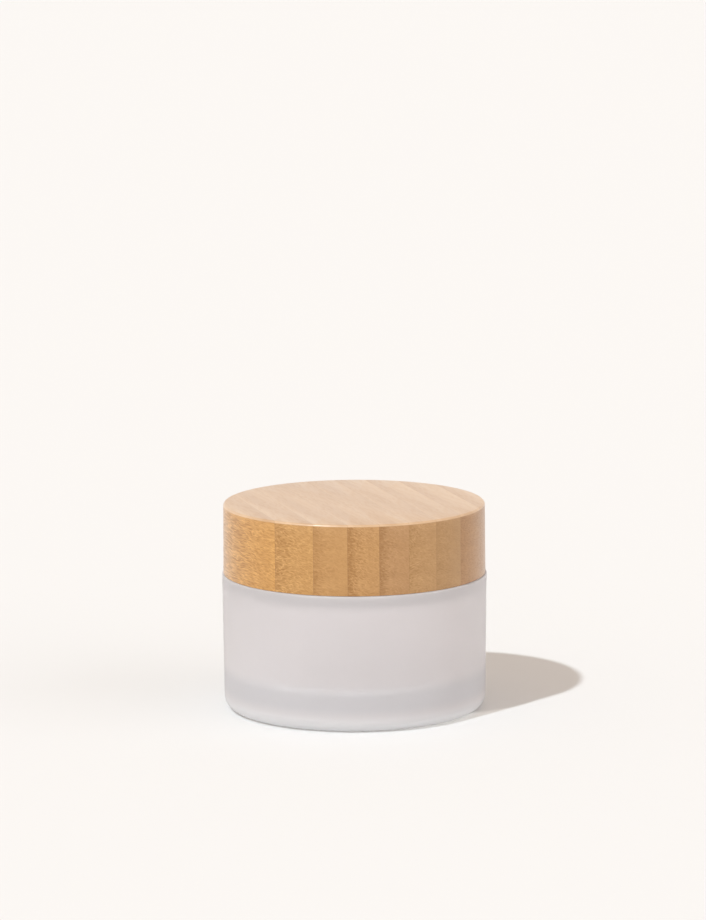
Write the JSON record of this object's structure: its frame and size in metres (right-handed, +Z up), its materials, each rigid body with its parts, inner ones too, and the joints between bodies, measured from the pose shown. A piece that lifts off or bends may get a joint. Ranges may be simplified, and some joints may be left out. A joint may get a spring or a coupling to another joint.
{
  "type": "cosmetic cream jar",
  "caption": "Round frosted glass cream jar with a heavy base and a screw lid turned from laminated bamboo over a threaded liner, with a foam wad and a loose sealing disc.",
  "frame": {"origin": "centre of the face the jar stands on, on the jar's axis", "axes": "+Z up the jar's axis, towards the lid; -Y faces the picture's camera and +X is to its right"},
  "size_m": [0.062, 0.062, 0.0485],
  "materials": {
    "frosted_glass": "matte",
    "polypropylene": "satin",
    "foam": "matte",
    "adhesive": "satin",
    "bamboo": "satin"
  },
  "bodies": {
    "jar": {"glass_jar": "frosted_glass"},
    "seal": {"sealing_disc": "polypropylene"},
    "wad": {"foam_wad": "foam"},
    "lid": {"threaded_liner": "polypropylene", "adhesive_layer": "adhesive", "bamboo_strip_1": "bamboo", "bamboo_strip_2": "bamboo", "bamboo_strip_3": "bamboo", "bamboo_strip_4": "bamboo", "bamboo_strip_5": "bamboo", "bamboo_strip_6": "bamboo", "bamboo_strip_7": "bamboo", "bamboo_strip_8": "bamboo", "bamboo_strip_9": "bamboo"}
  },
  "joints": [
    {"name": "lid_turn", "type": "hinge", "parent": "wad", "child": "lid", "pos_m": [0, 0, 0.04], "axis": [0, 0, 1], "range_deg": [0, 1080]},
    {"name": "lid_lift", "type": "slide", "parent": "jar", "child": "wad", "axis": [0, 0, 1], "range_m": [0, 0.01271]},
    {"name": "disc_lift", "type": "slide", "parent": "jar", "child": "seal", "axis": [0, 0, 1], "range_m": [0, 0.00572]}
  ],
  "couplings": [
    {"joint": "lid_lift", "follows": "lid_turn", "m_per_rad": 0.00067376},
    {"joint": "disc_lift", "follows": "lid_turn", "m_per_rad": 0.00030319}
  ]
}
